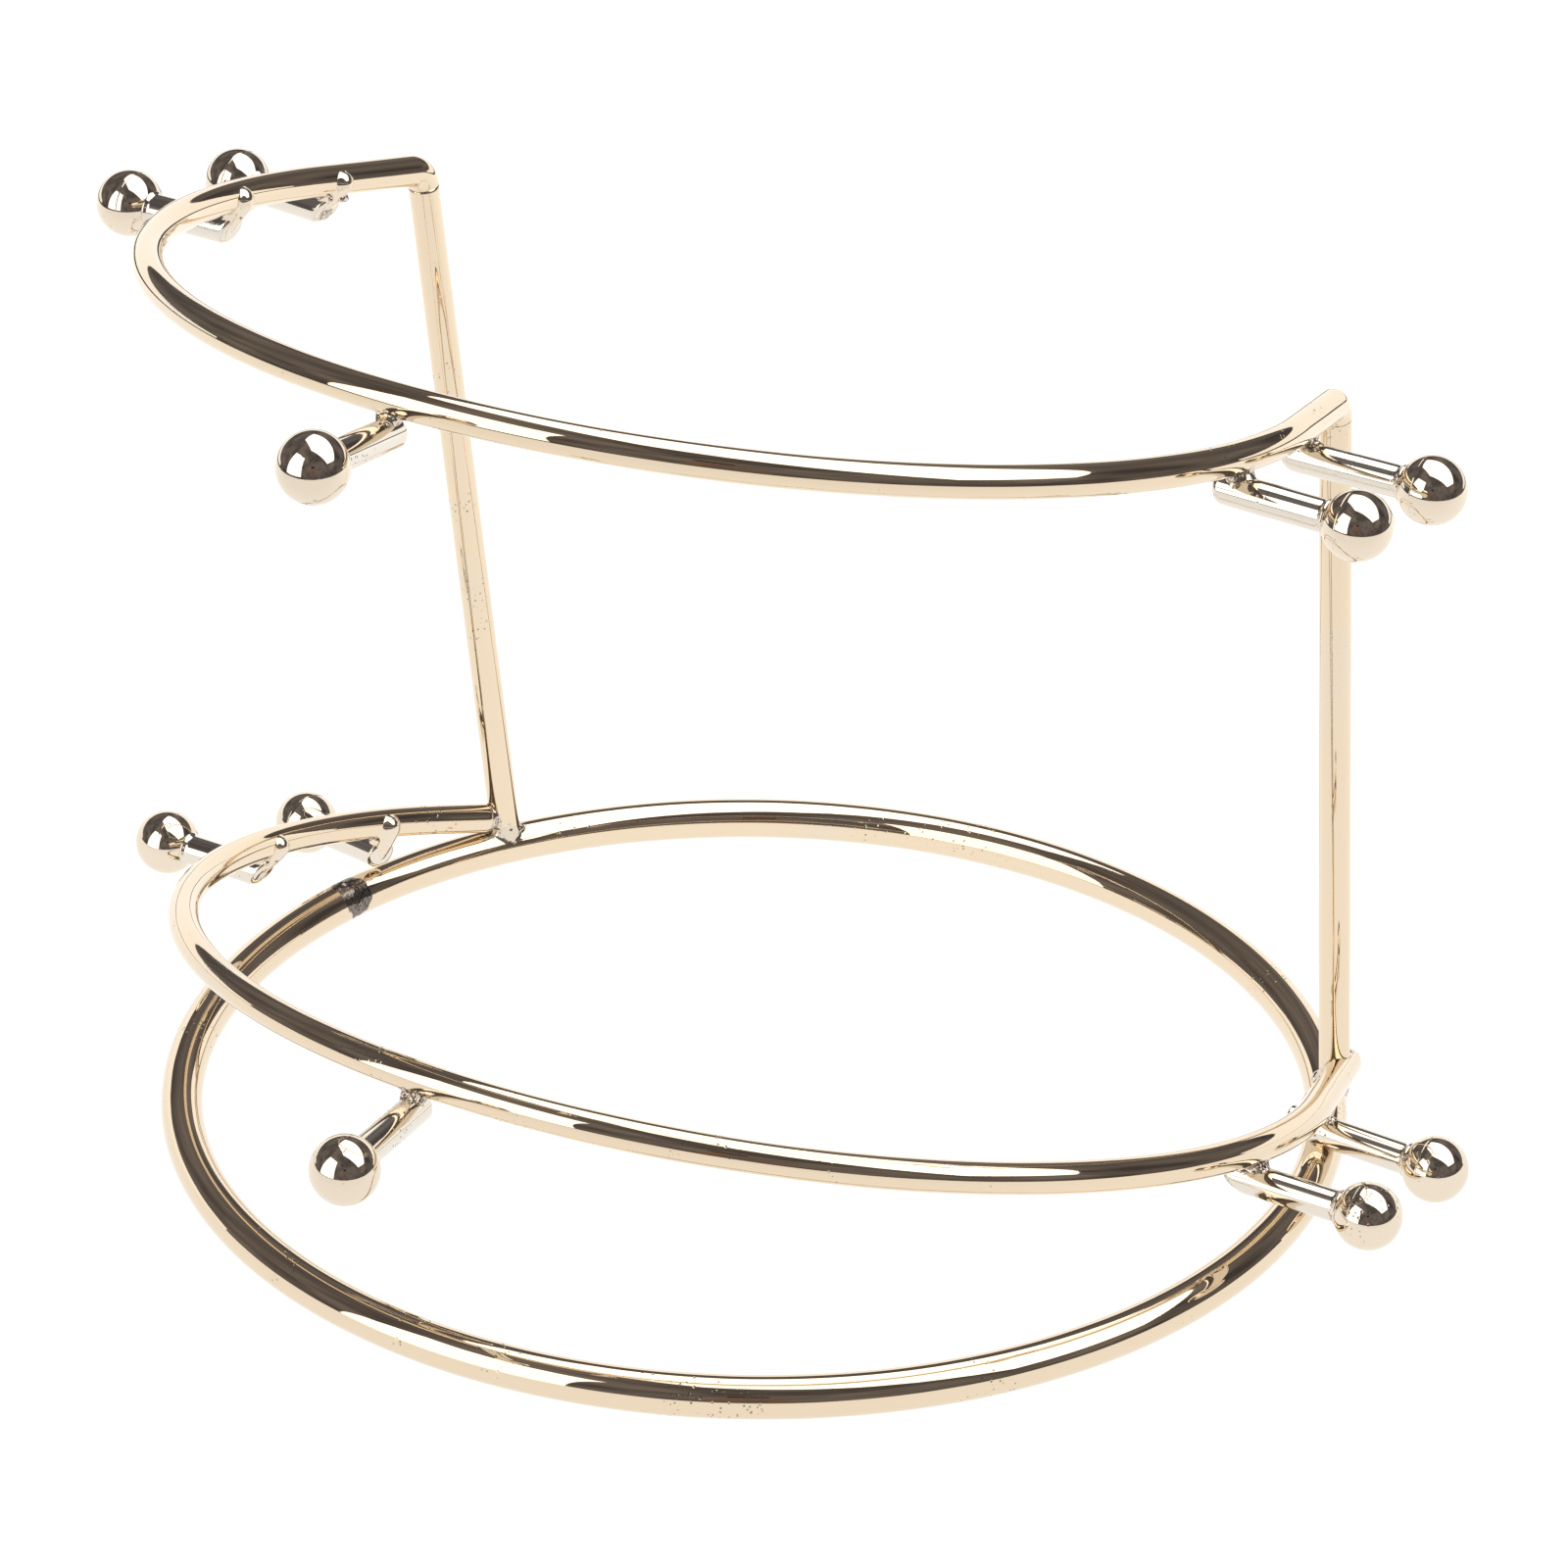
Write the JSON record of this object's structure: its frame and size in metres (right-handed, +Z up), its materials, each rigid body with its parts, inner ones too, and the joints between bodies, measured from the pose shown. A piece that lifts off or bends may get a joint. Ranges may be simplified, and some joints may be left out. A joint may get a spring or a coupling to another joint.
{
  "type": "tiered plate stand",
  "caption": "Free-standing stand of round plated wire: a flat base ring, a pair of uprights and tilted open bows in tiers, each carrying short ball-ended pegs.",
  "frame": {"origin": "centre of the base ring, on the table surface", "axes": "+Z up; +X to the right across the uprights; -Y towards the front, where both bows reach forward and rise"},
  "size_m": [0.2806, 0.2646, 0.1997],
  "materials": {
    "wire_plating": "polished champagne plating on steel wire",
    "peg_plating": "polished pale plating on steel rod, a little worn",
    "ball_plating": "mirror-polished pale plating on steel ball",
    "weld_plating": "plated weld bead, lumpy and slightly dull"
  },
  "bodies": {
    "root": {"base_ring": "wire_plating", "left_upright": "wire_plating", "right_upright": "wire_plating", "lower_bow": "wire_plating", "upper_bow": "wire_plating", "lower_left_rear_peg": "peg_plating", "lower_left_front_peg": "peg_plating", "lower_right_rear_peg": "peg_plating", "lower_right_front_peg": "peg_plating", "lower_front_peg": "peg_plating", "upper_left_rear_peg": "peg_plating", "upper_left_front_peg": "peg_plating", "upper_right_rear_peg": "peg_plating", "upper_right_front_peg": "peg_plating", "upper_front_peg": "peg_plating", "lower_left_rear_ball": "ball_plating", "lower_left_front_ball": "ball_plating", "lower_right_rear_ball": "ball_plating", "lower_right_front_ball": "ball_plating", "lower_front_ball": "ball_plating", "upper_left_rear_ball": "ball_plating", "upper_left_front_ball": "ball_plating", "upper_right_rear_ball": "ball_plating", "upper_right_front_ball": "ball_plating", "upper_front_ball": "ball_plating", "lower_peg_welds": "weld_plating", "upper_peg_welds": "weld_plating", "foot_welds": "weld_plating"}
  },
  "joints": []
}
